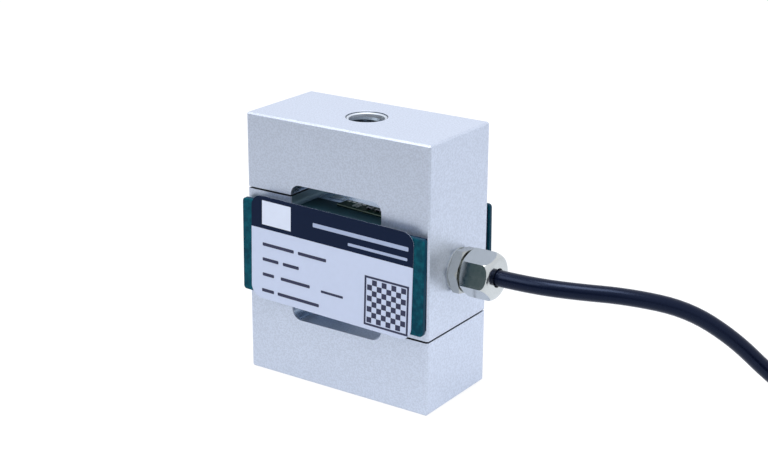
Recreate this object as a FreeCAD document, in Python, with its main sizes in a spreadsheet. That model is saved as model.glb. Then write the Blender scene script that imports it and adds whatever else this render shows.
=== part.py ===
"""S type load cell, as a parametric FreeCAD document.

A one-piece aluminium element is cut to an S by two slots with round corners and two wire-cut
kerfs. Its middle is a parallelogram beam: a window with four corner holes leaves four thin
flexures. Strain gauges sit over the flexures, cover plates close the window at the front and at
the back, and a cable leaves the right-hand side through a gland.

Millimetres. The origin is on the loading axis at the underside of the element, +Z runs up the
loading axis, +X points to the cable gland and +Y to the back.
"""

import FreeCAD, Part
import math
import os

import Sketcher
from FreeCAD import Placement, Rotation, Vector

# ---------------------------------------------------------------- driving dimensions
DIMENSIONS = {
    # element
    "body_width": 50.8,
    "body_depth": 25.0,
    "body_height": 64.0,
    "body_edge": 0.4,  # chamfer on every outer edge
    "slot_length": 25.4,
    "slot_height": 5.7,
    "slot_rise": 13.85,  # from mid-height to the middle of each slot
    "slot_corner": 2.5,  # of the slots' corners on the side of the arms
    "slot_root": 1.2,  # of the slots' corners on the side of the flexures
    "kerf_width": 0.45,
    "kerf_overlap": 1.5,  # how far a kerf's cut runs into its slot, and past the side
    "flexure_spacing": 15.0,
    "flexure_hole": 6.4,
    "flexure_wall": 1.0,
    # threads at both ends, modelled at their core diameter
    "thread_core": 8.5,
    "thread_mouth": 10.2,
    "mouth_angle": 120.0,
    # wiring in the element
    "gland_rise": 0.2,  # of the gland's axis above mid-height
    "gland_thread": 7.0,
    "gland_thread_depth": 8.0,
    "stub_clearance": 1.5,  # between the gland's end and the bottom of the threaded hole
    "wire_bore": 4.6,
    "pass_hole": 2.8,  # from the window up to the terminal board
    # covers and their foam pads
    "cover_overhang": 0.1,  # past each side of the element
    "cover_margin": 1.5,  # past the window, above and below
    "cover_thickness": 1.2,
    "cover_corner": 0.9,
    "cover_edge": 0.35,
    "cover_tilt": 0.8,
    "pad_thickness": 1.1,
    "pad_width": 8.0,
    "pad_inset": 0.6,
    # label
    "label_width": 45.4,
    "label_height": 25.6,
    "label_corner": 3.0,
    "label_thickness": 0.15,
    "label_tilt": 1.4,
    # gauges and terminal board
    "gauge_length": 5.0,
    "gauge_width": 2.6,
    "gauge_thickness": 0.1,
    "board_length": 13.6,
    "board_width": 4.0,
    "board_thickness": 0.5,
    "board_shift": 2.15,  # of the board's middle, towards the gland
    "board_setback": 3.95,  # of the board's middle, in front of the mid-plane
    "board_turn": 6.3,
    "chip_length": 1.6,
    "chip_width": 0.8,
    "chip_height": 0.35,
    "chip_spacing": 2.6,
    "chip_shift": 3.0,  # from the board's middle to the middle of the chips
    # gland
    "seal_washer": 0.35,
    "washer_diameter": 10.2,
    "gland_flats": 9.8,
    "flange_thickness": 2.4,
    "flange_turn": 53.0,
    "hex_chamfer": 0.7,
    "neck_diameter": 7.2,
    "neck_length": 4.4,
    "thread_clearance": 0.05,
    "nut_gap": 0.6,
    "nut_length": 7.15,
    "nut_dome": 1.9,
    "nut_turn": 17.0,
    "nut_mouth": 4.5,
    "nut_thread_depth": 4.2,
    "nut_lip": 1.5,  # length of the mouth, in front of the inner cone
    "seal_diameter": 6.0,
    "seal_depth": 2.4,
    "seal_sunk": 0.1,
    "seal_clearance": 0.04,
    # cable and its cores
    "cable_diameter": 3.8,
    "cable_clearance": 0.2,
    "strip_point": 11.6,  # where the jacket ends inside the element
    "core_diameter": 0.8,
    "core_spacing": 1.0,
    "core_run": 7.04,  # from where a core starts to climb to where it rises straight up
    "core_drop": 1.65,  # from the window's ceiling down to where it rises straight up
    "core_clearance": 0.02,
    "coil_radius": 22.8,
    "coil_turns_wide": 4,
    "coil_turns_high": 4,
    "coil_top_turns": 2,
    "tail_sweep": 170.0,
    "sleeve_diameter": 4.3,
    "sleeve_length": 8.0,
    "sleeve_clearance": 0.1,
    "core_end_diameter": 1.0,
    "core_tip_diameter": 0.6,
    "core_tip_length": 5.0,
    "core_end_spacing": 1.3,
    "core_end_straight": 3.0,  # from the sleeve to where a core starts to fan out
    "drain_clearance": 0.05,
}

# The free cable: from the gland it bends towards the back, sinks to the surface that the element
# stands on and runs into the coil along the coil's outermost turn.
CABLE_ROUTE = [
    Vector(43.5, 0.0, 32.2),
    Vector(53.0, 2.8, 31.9),
    Vector(64.0, 8.8, 31.2),
    Vector(74.6, 16.3, 28.2),
    Vector(83.2, 22.6, 21.2),
    Vector(90.4, 27.6, 12.6),
    Vector(98.4, 32.6, 5.0),
    Vector(108.0, 37.6, 1.9),
]
COIL_ENTRY = Vector(130.9, 45.9, 0.0)  # where the cable joins the outermost turn
COIL_HEADING = 20.0  # degrees from +X towards +Y, of the cable at that place

# The cores at the cable's far end, once they fan out: degrees further round the coil, and how much
# of their height above the coil's step is left there.
FAN_ROUTE = [(26, 0.35), (39, 0), (52, 0), (64, 0)]

BEND_SHARE = 0.45  # of the shorter run at a bend, which the bend's arc takes up
SWEEP_TOLERANCE = 0.01  # of a tube's volume
TOUCH = 0.01  # closer than this is the same place

CORE_COLOURS = ["red", "black", "green", "white"]


class Size:
    """A length that carries both its number and its spreadsheet expression."""

    def __init__(self, value, text):
        self.value = value
        self.text = text

    def _join(self, other, sign, value):
        text = other.text if isinstance(other, Size) else repr(other)
        return Size(value, f"({self.text} {sign} {text})")

    def __add__(self, other):
        return self._join(other, "+", self.value + number(other))

    def __sub__(self, other):
        return self._join(other, "-", self.value - number(other))

    def __mul__(self, other):
        return self._join(other, "*", self.value * number(other))

    def __truediv__(self, other):
        return self._join(other, "/", self.value / number(other))

    def __neg__(self):
        return Size(-self.value, f"(0 - {self.text})")


def number(size):
    return size.value if isinstance(size, Size) else size


def cosine(angle):
    return Size(math.cos(math.radians(angle.value)), f"cos({angle.text} * 1 deg)")


def sine(angle):
    return Size(math.sin(math.radians(angle.value)), f"sin({angle.text} * 1 deg)")


ZERO = Size(0.0, "0")

doc = FreeCAD.newDocument("s_type_load_cell")
sheet = doc.addObject("Spreadsheet::Sheet", "Sizes")
for row, (alias, value) in enumerate(DIMENSIONS.items(), start=1):
    sheet.set(f"A{row}", alias)
    sheet.set(f"B{row}", str(value))
    sheet.setAlias(f"B{row}", alias)
doc.recompute()


def size(alias):
    """The named dimension, as written in the sheet."""
    return Size(float(getattr(sheet, alias)), f"Sizes.{alias}")


# ---------------------------------------------------------------- places worked out from them
half_width = size("body_width") / 2
half_depth = size("body_depth") / 2
mid_height = size("body_height") / 2
slot_half_height = size("slot_height") / 2
upper_floor = mid_height + size("slot_rise") - slot_half_height
lower_ceiling = mid_height - size("slot_rise") + slot_half_height
arm_thickness = mid_height - size("slot_rise") - slot_half_height
window_half_height = size("slot_rise") - slot_half_height - size("flexure_wall") - size("flexure_hole") / 2

window_ceiling = mid_height + window_half_height
gland_height = mid_height + size("gland_rise")

cover_width = size("body_width") + size("cover_overhang") * 2
cover_height = (window_half_height + size("flexure_hole") / 2 + size("cover_margin")) * 2

cable_radius = size("cable_diameter") / 2
cable_bore = cable_radius + size("cable_clearance")
stub_radius = size("gland_thread") / 2 - size("thread_clearance")
neck_radius = size("neck_diameter") / 2
flange_start = half_width + size("seal_washer")
flange_end = flange_start + size("flange_thickness")
neck_end = flange_end + size("neck_length")
nut_start = flange_end + size("nut_gap")
nut_end = nut_start + size("nut_length")
nut_thread_end = nut_start + size("nut_thread_depth")
nut_cone_end = nut_end - size("nut_lip")
hex_corner = size("gland_flats") / (2 * math.cos(math.pi / 6))
mouth_radius = size("nut_mouth") / 2
seal_radius = size("seal_diameter") / 2 - size("seal_clearance")
seal_seat = neck_end - size("seal_depth")
seal_nose = mouth_radius - size("seal_clearance")
cable_exit = nut_end - size("seal_sunk")


# ---------------------------------------------------------------- helpers
def new_body(label, place=None):
    """A PartDesign body for one piece, with its place in the assembly."""
    body = doc.addObject("PartDesign::Body", label)
    body.Label = label
    if place is not None:
        body.Placement = place
    return body


def bind(item, prop, length):
    """Set a property from a size and keep it tied to the sheet."""
    setattr(item, prop, length.value)
    item.setExpression(prop, length.text)


def new_sketch(body, name, plane, offset=ZERO):
    """A sketch on one of the body's origin planes, moved along that plane's normal."""
    sketch = body.newObject("Sketcher::SketchObject", name)
    origin = [item for item in body.Origin.OriginFeatures if item.Role == plane][0]
    sketch.AttachmentSupport = [(origin, "")]
    sketch.MapMode = "FlatFace"
    sketch.AttachmentOffset = Placement(Vector(0, 0, offset.value), Rotation())
    if offset is not ZERO:
        sketch.setExpression("AttachmentOffset.Base.z", offset.text)
    return sketch


def dimension(sketch, kind, name, length, *where):
    """A driving constraint that takes its value from the sheet."""
    index = sketch.addConstraint(Sketcher.Constraint(kind, *where, length.value))
    sketch.renameConstraint(index, name)
    sketch.setExpression(f"Constraints.{name}", length.text)


def fix_point(sketch, name, item, vertex, across, up):
    """Tie one point of a sketch to the sketch's origin, across and up."""
    for kind, axis, length in (("DistanceX", -2, across), ("DistanceY", -1, up)):
        if length is ZERO:
            sketch.addConstraint(Sketcher.Constraint("PointOnObject", item, vertex, axis))
        else:
            dimension(sketch, kind, name + kind[-1], length, -1, 1, item, vertex)


def polygon(sketch, points, name="p"):
    """A closed outline of straight lines through points that are each tied to the sheet."""
    corners = [Vector(across.value, up.value, 0) for across, up in points]
    count = len(corners)
    lines = [
        sketch.addGeometry(Part.LineSegment(corners[i], corners[(i + 1) % count]))
        for i in range(count)
    ]
    for i, line in enumerate(lines):
        sketch.addConstraint(Sketcher.Constraint("Coincident", line, 2, lines[(i + 1) % count], 1))
    for i, (across, up) in enumerate(points):
        fix_point(sketch, f"{name}{i}", lines[i], 1, across, up)


def rectangle(sketch, left, right, bottom, top, name="p"):
    polygon(sketch, [(left, bottom), (right, bottom), (right, top), (left, top)], name)


def circle(sketch, across, up, radius, name="c"):
    item = sketch.addGeometry(
        Part.Circle(Vector(across.value, up.value, 0), Vector(0, 0, 1), radius.value)
    )
    fix_point(sketch, name, item, 3, across, up)
    dimension(sketch, "Radius", name + "R", radius, item)


def rounded_outline(sketch, half_across, half_up, radius, lower_radius=None, middle=ZERO, name="s"):
    """A closed outline of four corner arcs joined by four lines, about (0, middle)."""
    lower_radius = lower_radius or radius
    arcs = []
    for quarter, (side, level) in enumerate(((1, 1), (-1, 1), (-1, -1), (1, -1))):
        corner = (radius if level > 0 else lower_radius).value
        centre = Vector(
            side * (half_across.value - corner), middle.value + level * (half_up.value - corner), 0
        )
        begin = quarter * math.pi / 2
        arcs.append(
            sketch.addGeometry(
                Part.ArcOfCircle(
                    Part.Circle(centre, Vector(0, 0, 1), corner), begin, begin + math.pi / 2
                )
            )
        )
    shapes = sketch.Geometry
    lines = []
    for i, arc in enumerate(arcs):
        start = shapes[arc].EndPoint
        end = shapes[arcs[(i + 1) % 4]].StartPoint
        lines.append(sketch.addGeometry(Part.LineSegment(start, end)))
    for i, arc in enumerate(arcs):
        sketch.addConstraint(Sketcher.Constraint("Tangent", arc, 2, lines[i], 1))
        sketch.addConstraint(Sketcher.Constraint("Tangent", lines[i], 2, arcs[(i + 1) % 4], 1))
    for line, kind in zip(lines, ("Horizontal", "Vertical", "Horizontal", "Vertical")):
        sketch.addConstraint(Sketcher.Constraint(kind, line))
    sketch.addConstraint(Sketcher.Constraint("Equal", arcs[0], arcs[1]))
    sketch.addConstraint(Sketcher.Constraint("Equal", arcs[2], arcs[3]))
    dimension(sketch, "Radius", name + "R", radius, arcs[0])
    dimension(sketch, "Radius", name + "r", lower_radius, arcs[2])
    fix_point(sketch, name + "a", arcs[0], 3, half_across - radius, middle + (half_up - radius))
    fix_point(
        sketch, name + "b", arcs[2], 3, lower_radius - half_across, middle - (half_up - lower_radius)
    )


def pad(body, sketch, length, both_ways=False):
    feature = body.newObject("PartDesign::Pad", sketch.Name + "_pad")
    feature.Profile = sketch
    bind(feature, "Length", length)
    feature.Midplane = both_ways
    sketch.Visibility = False
    return feature


def pocket(body, sketch, length=None, both_ways=False, reverse=False):
    """Cut a sketch's outline out of the body, to a length or right through."""
    before = body.Shape.Volume
    feature = body.newObject("PartDesign::Pocket", sketch.Name + "_pocket")
    feature.Profile = sketch
    feature.Reversed = reverse
    feature.Midplane = both_ways
    if length is None:
        feature.Type = "ThroughAll"
    else:
        bind(feature, "Length", length)
    doc.recompute()
    if body.Shape.Volume >= before:
        raise RuntimeError(f"{feature.Name} cuts nothing")
    return feature


def turned(body, sketch, angle=None):
    """Turn a sketch's outline about the sketch's own horizontal axis."""
    feature = body.newObject("PartDesign::Revolution", sketch.Name + "_turned")
    feature.Profile = sketch
    feature.ReferenceAxis = (sketch, ["H_Axis"])
    feature.Angle = 360
    if angle is not None:
        bind(feature, "Angle", angle)
    return feature


def hexagon(sketch, corner, turn, name="hex"):
    """A regular hexagon about the sketch's origin, turned by an angle in degrees."""
    ring = sketch.addGeometry(Part.Circle(Vector(), Vector(0, 0, 1), corner.value), True)
    sketch.addConstraint(Sketcher.Constraint("Coincident", ring, 3, -1, 1))
    dimension(sketch, "Radius", name + "R", corner, ring)
    corners = [
        Vector(
            corner.value * math.cos(math.radians(turn.value + 60 * i)),
            corner.value * math.sin(math.radians(turn.value + 60 * i)),
            0,
        )
        for i in range(6)
    ]
    lines = [
        sketch.addGeometry(Part.LineSegment(corners[i], corners[(i + 1) % 6])) for i in range(6)
    ]
    for i in range(6):
        following = lines[(i + 1) % 6]
        sketch.addConstraint(Sketcher.Constraint("Coincident", lines[i], 2, following, 1))
        sketch.addConstraint(Sketcher.Constraint("PointOnObject", lines[i], 2, ring))
        if i:
            sketch.addConstraint(Sketcher.Constraint("Equal", lines[0], lines[i]))
    first = sketch.addGeometry(Part.LineSegment(Vector(), corners[0]), True)
    sketch.addConstraint(Sketcher.Constraint("Coincident", first, 1, -1, 1))
    sketch.addConstraint(Sketcher.Constraint("Coincident", first, 2, lines[0], 1))
    index = sketch.addConstraint(
        Sketcher.Constraint("Angle", -1, 1, first, 1, math.radians(turn.value))
    )
    sketch.renameConstraint(index, name + "Turn")
    sketch.setExpression(f"Constraints.{name}Turn", f"{turn.text} * 1 deg")


def solid(label, shape, place=None):
    """A piece whose shape comes from Part's own functions."""
    feature = doc.addObject("Part::Feature", label)
    feature.Label = label
    feature.Shape = shape
    if place is not None:
        feature.Placement = place
    return feature


pieces = []


# ---------------------------------------------------------------- element
def elastic_element():
    """The S: one block, two slots, two kerfs, the flexure window, two threads and the wiring bores."""
    body = new_body("elastic_element")
    outline = new_sketch(body, "element_outline", "XZ_Plane")
    rectangle(outline, -half_width, half_width, ZERO, size("body_height"))
    block = pad(body, outline, size("body_depth"), both_ways=True)
    doc.recompute()

    edges = body.newObject("PartDesign::Chamfer", "outer_edges")
    edges.Base = (block, [f"Edge{i + 1}" for i in range(len(block.Shape.Edges))])
    bind(edges, "Size", size("body_edge"))
    doc.recompute()

    slots = new_sketch(body, "slots", "XZ_Plane")
    half_long = size("slot_length") / 2
    for name, middle, upper, lower in (
        ("up", mid_height + size("slot_rise"), size("slot_corner"), size("slot_root")),
        ("low", mid_height - size("slot_rise"), size("slot_root"), size("slot_corner")),
    ):
        rounded_outline(slots, half_long, slot_half_height, upper, lower, middle, name)
    pocket(body, slots, size("body_depth") * 2, both_ways=True)

    kerfs = new_sketch(body, "kerfs", "XZ_Plane")
    outside = half_width + size("kerf_overlap")
    inside = size("slot_length") / 2 - size("kerf_overlap")
    half_kerf = size("kerf_width") / 2
    upper = mid_height + size("slot_rise")
    lower = mid_height - size("slot_rise")
    rectangle(kerfs, -outside, -inside, upper - half_kerf, upper + half_kerf, "u")
    rectangle(kerfs, inside, outside, lower - half_kerf, lower + half_kerf, "v")
    pocket(body, kerfs, size("body_depth") * 2, both_ways=True)

    window = new_sketch(body, "window", "XZ_Plane")
    flexure_x = size("flexure_spacing") / 2
    rectangle(
        window, -flexure_x, flexure_x, mid_height - window_half_height, mid_height + window_half_height
    )
    pocket(body, window, size("body_depth") * 2, both_ways=True)

    holes = new_sketch(body, "flexure_holes", "XZ_Plane")
    hole_radius = size("flexure_hole") / 2
    for i, (side, level) in enumerate(((1, 1), (1, -1), (-1, 1), (-1, -1))):
        across = flexure_x if side > 0 else -flexure_x
        up = mid_height + window_half_height * level
        circle(holes, across, up, hole_radius, f"h{i}")
    pocket(body, holes, size("body_depth") * 2, both_ways=True)

    for name, plane_height, downwards in (
        ("upper_thread", size("body_height"), True),
        ("lower_thread", ZERO, False),
    ):
        centre = new_sketch(body, name + "_centre", "XY_Plane", plane_height)
        circle(centre, ZERO, ZERO, size("thread_core") / 2)
        doc.recompute()
        before = body.Shape.Volume
        hole = body.newObject("PartDesign::Hole", name)
        hole.Profile = centre
        hole.Reversed = not downwards
        hole.Threaded = False
        bind(hole, "Diameter", size("thread_core"))
        hole.DepthType = "Dimension"
        bind(hole, "Depth", arm_thickness + slot_half_height)
        hole.DrillPoint = "Flat"
        hole.HoleCutType = "Countersink"
        hole.HoleCutCustomValues = True
        bind(hole, "HoleCutDiameter", size("thread_mouth"))
        bind(hole, "HoleCutCountersinkAngle", size("mouth_angle"))
        doc.recompute()
        if body.Shape.Volume >= before:
            raise RuntimeError(f"{name} cuts nothing")

    gland_hole = new_sketch(body, "gland_hole", "YZ_Plane", half_width)
    circle(gland_hole, ZERO, gland_height, size("gland_thread") / 2)
    pocket(body, gland_hole, size("gland_thread_depth"))
    wire_bore = new_sketch(body, "wire_bore", "YZ_Plane", half_width)
    circle(wire_bore, ZERO, gland_height, size("wire_bore") / 2)
    pocket(body, wire_bore, half_width)
    pass_hole = new_sketch(body, "pass_hole", "XY_Plane", mid_height + size("slot_rise"))
    circle(pass_hole, ZERO, -size("board_setback"), size("pass_hole") / 2)
    pocket(body, pass_hole, size("slot_rise"))
    pieces.append(body)


# ---------------------------------------------------------------- covers, pads and label
def cover(side, facing):
    """A cover plate with softened outer edges, stood off from the element by its two foam pads."""
    plate = new_body(f"{side}_cover_plate")
    outline = new_sketch(plate, f"{side}_cover_outline", "XZ_Plane")
    rounded_outline(outline, cover_width / 2, cover_height / 2, size("cover_corner"))
    sheet_pad = pad(plate, outline, size("cover_thickness"))
    doc.recompute()
    outer = [
        f"Edge{i + 1}"
        for i, edge in enumerate(sheet_pad.Shape.Edges)
        if edge.BoundBox.YMax < 0.5 * sheet_pad.Shape.BoundBox.YMin
    ]
    rounding = plate.newObject("PartDesign::Fillet", f"{side}_cover_rounding")
    rounding.Base = (sheet_pad, outer)
    bind(rounding, "Radius", size("cover_edge"))
    tilt = Rotation(Vector(0, 1, 0), size("cover_tilt").value)
    turn = Rotation(Vector(0, 0, 1), 0 if facing < 0 else 180)
    gap = half_depth + size("pad_thickness")
    plate.Placement = Placement(Vector(0, facing * gap.value, mid_height.value), turn * tilt)
    plate.setExpression("Placement.Base.y", (gap * facing).text)
    plate.setExpression("Placement.Base.z", mid_height.text)
    pieces.append(plate)

    for end, direction in (("left", -1), ("right", 1)):
        strip = new_body(f"{side}_foam_pad_{end}")
        face = new_sketch(strip, f"{side}_{end}_pad_outline", "XZ_Plane")
        rectangle(
            face,
            -size("pad_width") / 2,
            size("pad_width") / 2,
            size("pad_inset") - cover_height / 2,
            cover_height / 2 - size("pad_inset"),
        )
        pad(strip, face, size("pad_thickness"))
        across = (cover_width / 2 - size("pad_inset") - size("pad_width") / 2) * direction
        near = half_depth * facing if facing < 0 else half_depth + size("pad_thickness")
        strip.Placement = Placement(
            Vector(across.value, near.value, mid_height.value), Rotation()
        )
        strip.setExpression("Placement.Base.x", across.text)
        strip.setExpression("Placement.Base.y", near.text)
        strip.setExpression("Placement.Base.z", mid_height.text)
        pieces.append(strip)


def label():
    """A plain film label with round corners, a little askew and taller than the cover under it."""
    film = new_body("label")
    outline = new_sketch(film, "label_outline", "XZ_Plane")
    rounded_outline(outline, size("label_width") / 2, size("label_height") / 2, size("label_corner"))
    pad(film, outline, size("label_thickness"))
    front = -(half_depth + size("pad_thickness") + size("cover_thickness"))
    tilt = Rotation(Vector(0, 1, 0), size("label_tilt").value)
    film.Placement = Placement(Vector(0, front.value, mid_height.value), tilt)
    film.setExpression("Placement.Base.y", front.text)
    film.setExpression("Placement.Base.z", mid_height.text)
    pieces.append(film)


# ---------------------------------------------------------------- gauges and terminal board
def gauges():
    """Foil gauges on the outer faces of the four flexures, inside the two slots."""
    for level, seat, grow in (("upper", upper_floor, 0), ("lower", lower_ceiling, -1)):
        for end, direction in (("left", -1), ("right", 1)):
            foil = new_body(f"strain_gauge_{level}_{end}")
            outline = new_sketch(foil, f"{level}_{end}_gauge_outline", "XY_Plane")
            half_long = size("gauge_length") / 2
            half_wide = size("gauge_width") / 2
            rectangle(outline, -half_long, half_long, -half_wide, half_wide)
            pad(foil, outline, size("gauge_thickness"))
            across = size("flexure_spacing") / 2 * direction
            up = seat + size("gauge_thickness") * grow
            foil.Placement = Placement(Vector(across.value, 0, up.value), Rotation())
            foil.setExpression("Placement.Base.x", across.text)
            foil.setExpression("Placement.Base.z", up.text)
            pieces.append(foil)


def core_offsets():
    """Where the four cores lie about the cable's axis, as signs along two cross directions."""
    return dict(zip(CORE_COLOURS, ((1, 1), (-1, 1), (1, -1), (-1, -1))))


def terminal_board():
    """The little board on the beam, over the pass hole, and the two trim resistors on it."""
    turn = Rotation(Vector(0, 0, 1), -size("board_turn").value)
    board_place = Placement(
        Vector(size("board_shift").value, -size("board_setback").value, upper_floor.value), turn
    )
    board = new_body("terminal_board", board_place)
    outline = new_sketch(board, "board_outline", "XY_Plane")
    half_long = size("board_length") / 2
    half_wide = size("board_width") / 2
    rectangle(outline, -half_long, half_long, -half_wide, half_wide)
    pad(board, outline, size("board_thickness"))
    doc.recompute()
    holes = new_sketch(board, "solder_holes", "XY_Plane", size("board_thickness"))
    hole_radius = size("core_diameter") / 2 + size("core_clearance")
    half_pitch = size("core_spacing") / 2
    turn_cos = cosine(size("board_turn"))
    turn_sin = sine(size("board_turn"))
    for i, (along, side) in enumerate(core_offsets().values()):
        from_middle = half_pitch * along - size("board_shift")
        across = from_middle * turn_cos - half_pitch * side * turn_sin
        up = from_middle * turn_sin + half_pitch * side * turn_cos
        circle(holes, across, up, hole_radius, f"h{i}")
    pocket(board, holes, size("board_thickness"))
    board.setExpression("Placement.Base.x", size("board_shift").text)
    board.setExpression("Placement.Base.y", (-size("board_setback")).text)
    board.setExpression("Placement.Base.z", upper_floor.text)
    pieces.append(board)

    for i, along in enumerate((-0.5, 0.5)):
        chip = doc.addObject("Part::Box", f"trim_resistor_{i + 1}")
        chip.Label = f"trim_resistor_{i + 1}"
        bind(chip, "Length", size("chip_length"))
        bind(chip, "Width", size("chip_width"))
        bind(chip, "Height", size("chip_height"))
        middle = size("chip_shift").value + along * size("chip_spacing").value
        corner = Vector(
            middle - size("chip_length").value / 2,
            -size("chip_width").value / 2,
            size("board_thickness").value,
        )
        chip.Placement = Placement(board_place.multVec(corner), turn)
        pieces.append(chip)


# ---------------------------------------------------------------- gland
def axial_profile(body, name, points):
    """Turn an outline given as (along the gland, from its axis) about the gland's axis."""
    sketch = new_sketch(body, name, "XZ_Plane")
    polygon(sketch, points)
    turned(body, sketch)
    body.Placement = Placement(Vector(0, 0, gland_height.value), Rotation())
    body.setExpression("Placement.Base.z", gland_height.text)
    doc.recompute()


def cut_flats(body, name, start, length, turn):
    """Mill six flats between two planes across the gland's axis."""
    sketch = new_sketch(body, name, "YZ_Plane", start)
    circle(sketch, ZERO, ZERO, hex_corner + size("hex_chamfer"), "around")
    hexagon(sketch, hex_corner, turn)
    pocket(body, sketch, length, reverse=True)


def gland():
    """Washer, threaded body, rubber seal and domed cap nut, all on one axis."""
    washer = new_body("gland_washer")
    axial_profile(
        washer,
        "washer_profile",
        [
            (half_width, stub_radius + size("thread_clearance")),
            (flange_start, stub_radius + size("thread_clearance")),
            (flange_start, size("washer_diameter") / 2),
            (half_width, size("washer_diameter") / 2),
        ],
    )
    pieces.append(washer)

    body = new_body("gland_body")
    chamfer = size("hex_chamfer")
    stub_start = half_width - size("gland_thread_depth") + size("stub_clearance")
    seat_radius = seal_radius + size("seal_clearance")
    axial_profile(
        body,
        "gland_body_profile",
        [
            (stub_start, cable_bore),
            (seal_seat - (seat_radius - cable_bore), cable_bore),
            (seal_seat, seat_radius),
            (neck_end, seat_radius),
            (neck_end, neck_radius),
            (flange_end, neck_radius),
            (flange_end, hex_corner - chamfer),
            (flange_end - chamfer / 2, hex_corner),
            (flange_start + chamfer / 2, hex_corner),
            (flange_start, hex_corner - chamfer),
            (flange_start, stub_radius),
            (stub_start + chamfer / 2, stub_radius),
            (stub_start, stub_radius - chamfer / 2),
        ],
    )
    cut_flats(body, "flange_flats", flange_start, size("flange_thickness"), size("flange_turn"))
    pieces.append(body)

    nut_bore = neck_radius + size("thread_clearance")
    nut = new_body("gland_cap_nut")
    axial_profile(
        nut,
        "cap_nut_profile",
        [
            (nut_start, nut_bore),
            (nut_thread_end, nut_bore),
            (nut_cone_end, mouth_radius),
            (nut_end, mouth_radius),
            (nut_end, hex_corner),
            (nut_start + chamfer / 2, hex_corner),
            (nut_start, hex_corner - chamfer),
        ],
    )
    blank = nut.Tip
    rim = [
        f"Edge{i + 1}"
        for i, edge in enumerate(blank.Shape.Edges)
        if edge.BoundBox.XMin > nut_end.value - TOUCH
        and edge.BoundBox.YLength > 2 * mouth_radius.value + TOUCH
    ]
    dome = nut.newObject("PartDesign::Fillet", "nut_dome")
    dome.Base = (blank, rim)
    bind(dome, "Radius", size("nut_dome"))
    cut_flats(nut, "nut_flats", nut_start, size("nut_length"), size("nut_turn"))
    pieces.append(nut)

    seal = new_body("gland_seal")
    shoulder = nut_thread_end - size("seal_clearance")
    grip = cable_radius + size("seal_clearance")
    axial_profile(
        seal,
        "seal_profile",
        [
            (seal_seat - (seal_radius - grip), grip),
            (cable_exit, grip),
            (cable_exit, seal_nose),
            (nut_cone_end, seal_nose),
            (shoulder, seal_radius),
            (seal_seat, seal_radius),
        ],
    )
    pieces.append(seal)


# ---------------------------------------------------------------- cable
def run_and_arc_path(points):
    """A wire of straight runs joined by tangent arcs, each as large as its two runs allow."""
    edges = []
    start = points[0]
    for before, corner, after in zip(points, points[1:], points[2:]):
        incoming = corner - before
        outgoing = after - corner
        shorter = min(incoming.Length, outgoing.Length)
        half_turn = incoming.getAngle(outgoing) / 2
        setback = BEND_SHARE * shorter
        radius = setback / math.tan(half_turn)
        into = Vector(incoming).normalize()
        away = Vector(outgoing).normalize()
        first = corner - into * setback
        last = corner + away * setback
        inward = (away - into).normalize()
        middle = corner + inward * (radius / math.cos(half_turn) - radius)
        edges.append(Part.LineSegment(start, first).toShape())
        edges.append(Part.Arc(first, middle, last).toShape())
        print(f"bend at {corner.x:.0f} {corner.y:.0f} {corner.z:.0f}: radius {radius:.1f} mm")
        start = last
    edges.append(Part.LineSegment(start, points[-1]).toShape())
    return Part.Wire(edges)


def tube_along(points, radius):
    """A round solid swept along runs and arcs, checked against its section times its length."""
    path = run_and_arc_path(points)
    heading = points[1] - points[0]
    ring = Part.Wire([Part.makeCircle(radius, points[0], heading)])
    swept = path.makePipeShell([ring], True, False)
    expected = math.pi * radius**2 * path.Length
    if abs(swept.Volume / expected - 1) > SWEEP_TOLERANCE:
        raise RuntimeError(f"a tube's volume is {swept.Volume:.1f} and not {expected:.1f}")
    return swept


def cable():
    """The jacketed cable: its stretch inside the gland and the element, the free stretch and the coil."""
    inner = new_body("cable_in_gland")
    axial_profile(
        inner,
        "cable_in_gland_profile",
        [
            (size("strip_point"), ZERO),
            (cable_exit, ZERO),
            (cable_exit, cable_radius),
            (size("strip_point"), cable_radius),
        ],
    )
    pieces.append(inner)

    thickness = size("cable_diameter").value
    wide = thickness * size("coil_turns_wide").value
    inner_edge = size("coil_radius").value - wide / 2
    outer_edge = inner_edge + wide
    outer_turn = outer_edge - thickness / 2
    heading = math.radians(COIL_HEADING)
    along = Vector(math.cos(heading), math.sin(heading), 0)
    inward = Vector(math.sin(heading), -math.cos(heading), 0)
    place = Placement(COIL_ENTRY + inward * outer_turn, Rotation(Vector(0, 0, 1), COIL_HEADING + 90))

    # the tube stops where its side first meets the coil's outside
    reach_back = math.sqrt(outer_edge**2 - (outer_turn - thickness / 2) ** 2)
    touching = COIL_ENTRY - along * reach_back + Vector(0, 0, thickness / 2)
    start = Vector(cable_exit.value, 0, gland_height.value)
    pieces.append(solid("cable_tube", tube_along([start, *CABLE_ROUTE, touching], thickness / 2)))

    # the lower layers are full, the top layer has only the inner turns, and the end of the cable
    # follows them on the layer below
    step_height = thickness * (size("coil_turns_high").value - 1)
    top_edge = inner_edge + thickness * size("coil_top_turns").value
    full_height = step_height + thickness
    ring = turned_section(
        [
            (inner_edge, 0),
            (outer_edge, 0),
            (outer_edge, step_height),
            (top_edge, step_height),
            (top_edge, full_height),
            (inner_edge, full_height),
        ],
        360,
    )
    tail_edge = top_edge + thickness
    tail = turned_section(
        [
            (top_edge, step_height),
            (tail_edge, step_height),
            (tail_edge, full_height),
            (top_edge, full_height),
        ],
        -size("tail_sweep").value,
    )
    pieces.append(solid("cable_coil", ring.fuse(tail).removeSplitter(), place))
    cable_end(place, top_edge, step_height)


def turned_section(corners, sweep):
    """A closed outline, given as (radius, height), turned about the vertical axis."""
    points = [Vector(radius, 0, height) for radius, height in corners]
    outline = Part.makePolygon([*points, points[0]])
    return Part.Face(outline).revolve(Vector(), Vector(0, 0, 1), sweep)


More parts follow.
